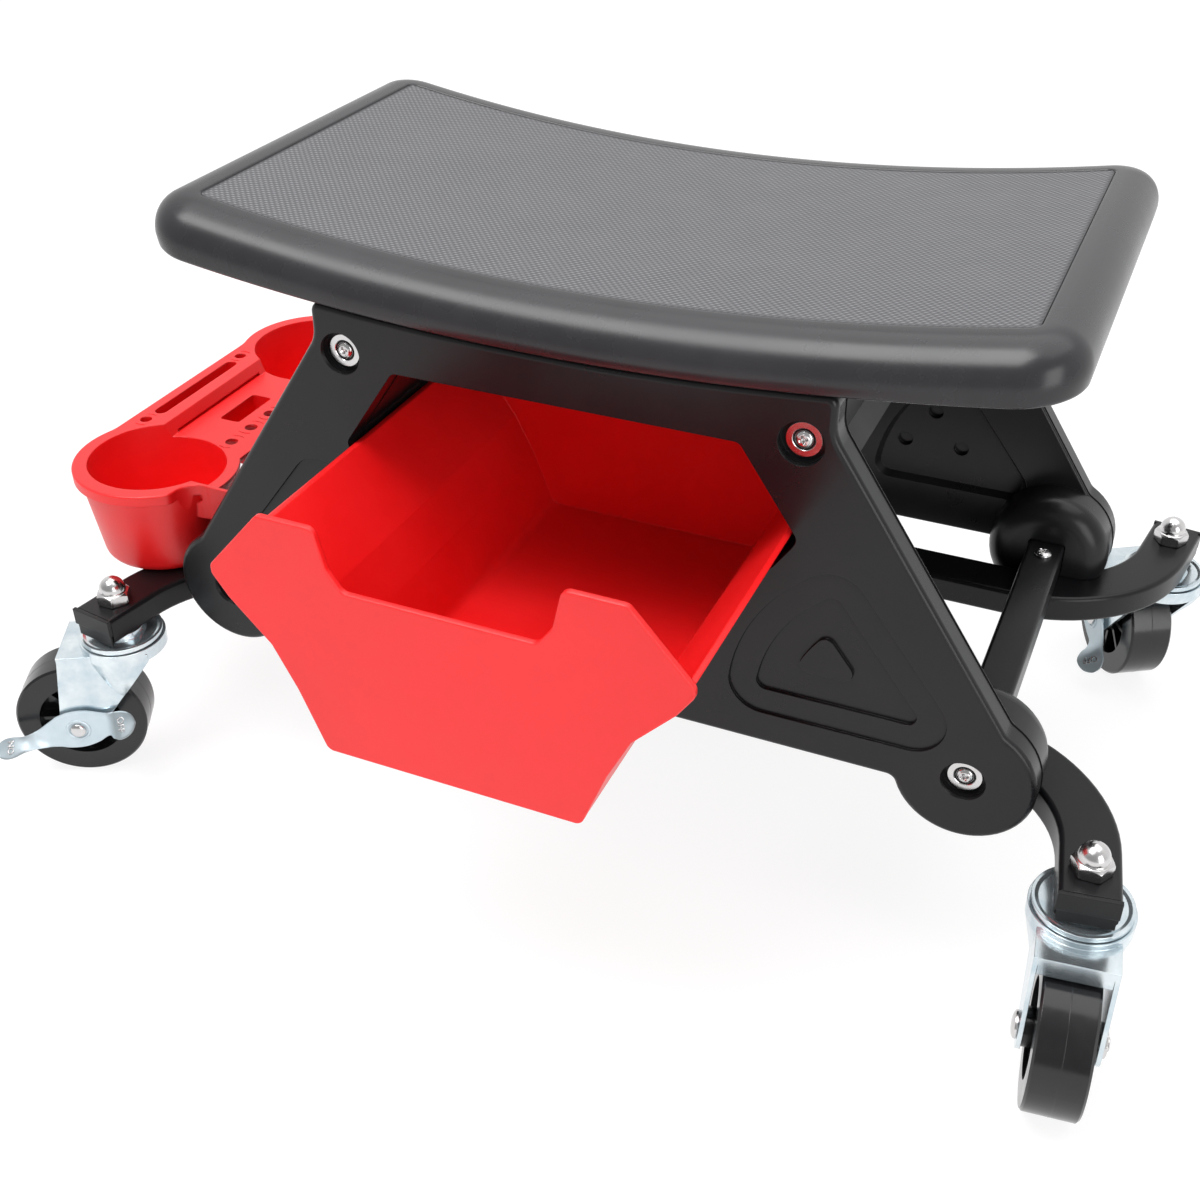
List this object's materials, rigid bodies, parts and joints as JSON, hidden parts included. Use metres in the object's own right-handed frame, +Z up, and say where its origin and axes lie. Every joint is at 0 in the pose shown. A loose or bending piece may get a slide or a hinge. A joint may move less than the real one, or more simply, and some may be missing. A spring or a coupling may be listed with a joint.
{
  "type": "workshop stool",
  "caption": "Low rolling workshop stool with a padded saddle seat, sliding tool drawer between side panels, end tool tray and swivel casters with brakes.",
  "frame": {"origin": "centre of the bounding box at ground level, drawer as pictured", "axes": "+X along the seat, away from the tool tray; +Y from the drawer's front to the back; +Z up"},
  "size_m": [0.6358, 0.4642, 0.3452],
  "materials": {
    "seat": "moulded fine mesh grain",
    "panel": "satin black plastic",
    "frame_paint": "black powder coat",
    "plug": "moulded black plastic",
    "runner": "smooth black plastic",
    "red_plastic": "red, soft shine",
    "wheel": "black nylon",
    "zinc": "bluish zinc plating",
    "bright_zinc": "bright zinc plating"
  },
  "bodies": {
    "stool": {"seat_pad": "seat", "panel_front": "panel", "panel_back": "panel", "base_tube_front": "frame_paint", "base_tube_back": "frame_paint", "crossbar_left": "frame_paint", "crossbar_right": "frame_paint", "upper_bar_left": "frame_paint", "upper_bar_right": "frame_paint", "runner_left": "runner", "runner_right": "runner", "tool_tray": "red_plastic", "tube_plug_fl": "plug", "caster_stem_fl": "zinc", "acorn_nut_fl": "bright_zinc", "tube_plug_fr": "plug", "caster_stem_fr": "zinc", "acorn_nut_fr": "bright_zinc", "tube_plug_br": "plug", "caster_stem_br": "zinc", "acorn_nut_br": "bright_zinc", "tube_plug_bl": "plug", "caster_stem_bl": "zinc", "acorn_nut_bl": "bright_zinc"},
    "drawer_box": {"drawer": "red_plastic"},
    "swivel_fl": {"fork_fl": "zinc", "axle_fl": "bright_zinc"},
    "roller_fl": {"wheel_fl": "wheel"},
    "swivel_fr": {"fork_fr": "zinc", "axle_fr": "bright_zinc"},
    "roller_fr": {"wheel_fr": "wheel"},
    "swivel_br": {"fork_br": "zinc", "axle_br": "bright_zinc"},
    "roller_br": {"wheel_br": "wheel"},
    "swivel_bl": {"fork_bl": "zinc", "axle_bl": "bright_zinc"},
    "roller_bl": {"wheel_bl": "wheel"},
    "lever_fl": {"brake_lever_fl": "zinc"},
    "lever_br": {"brake_lever_br": "zinc"}
  },
  "joints": [
    {"name": "drawer_slide", "type": "slide", "parent": "stool", "child": "drawer_box", "axis": [0, 1, 0], "range_m": [-0.095, 0.115]},
    {"name": "swivel_turn_fl", "type": "hinge", "parent": "stool", "child": "swivel_fl", "pos_m": [-0.25207, -0.13614, 0.087], "axis": [0, 0, 1], "continuous": true},
    {"name": "wheel_spin_fl", "type": "hinge", "parent": "swivel_fl", "child": "roller_fl", "pos_m": [-0.27918, -0.15055, 0.0375], "axis": [0.4695, -0.8829, 0], "continuous": true},
    {"name": "swivel_turn_fr", "type": "hinge", "parent": "stool", "child": "swivel_fr", "pos_m": [0.29133, -0.13614, 0.087], "axis": [0, 0, 1], "continuous": true},
    {"name": "wheel_spin_fr", "type": "hinge", "parent": "swivel_fr", "child": "roller_fr", "pos_m": [0.29491, -0.16663, 0.0375], "axis": [0.9932, 0.1167, 0], "continuous": true},
    {"name": "swivel_turn_br", "type": "hinge", "parent": "stool", "child": "swivel_br", "pos_m": [0.29133, 0.16786, 0.087], "axis": [0, 0, 1], "continuous": true},
    {"name": "wheel_spin_br", "type": "hinge", "parent": "swivel_br", "child": "roller_br", "pos_m": [0.2752, 0.19398, 0.0375], "axis": [-0.8508, -0.5255, 0], "continuous": true},
    {"name": "swivel_turn_bl", "type": "hinge", "parent": "stool", "child": "swivel_bl", "pos_m": [-0.25207, 0.16786, 0.087], "axis": [0, 0, 1], "continuous": true},
    {"name": "wheel_spin_bl", "type": "hinge", "parent": "swivel_bl", "child": "roller_bl", "pos_m": [-0.26924, 0.14241, 0.0375], "axis": [0.8291, -0.5592, 0], "continuous": true},
    {"name": "brake_turn_fl", "type": "hinge", "parent": "swivel_fl", "child": "lever_fl", "pos_m": [-0.27918, -0.15055, 0.0375], "axis": [0.4695, -0.8829, 0], "range_deg": [-60, 0]},
    {"name": "brake_turn_br", "type": "hinge", "parent": "swivel_br", "child": "lever_br", "pos_m": [0.2752, 0.19398, 0.0375], "axis": [-0.8508, -0.5255, 0], "range_deg": [0, 60]}
  ]
}
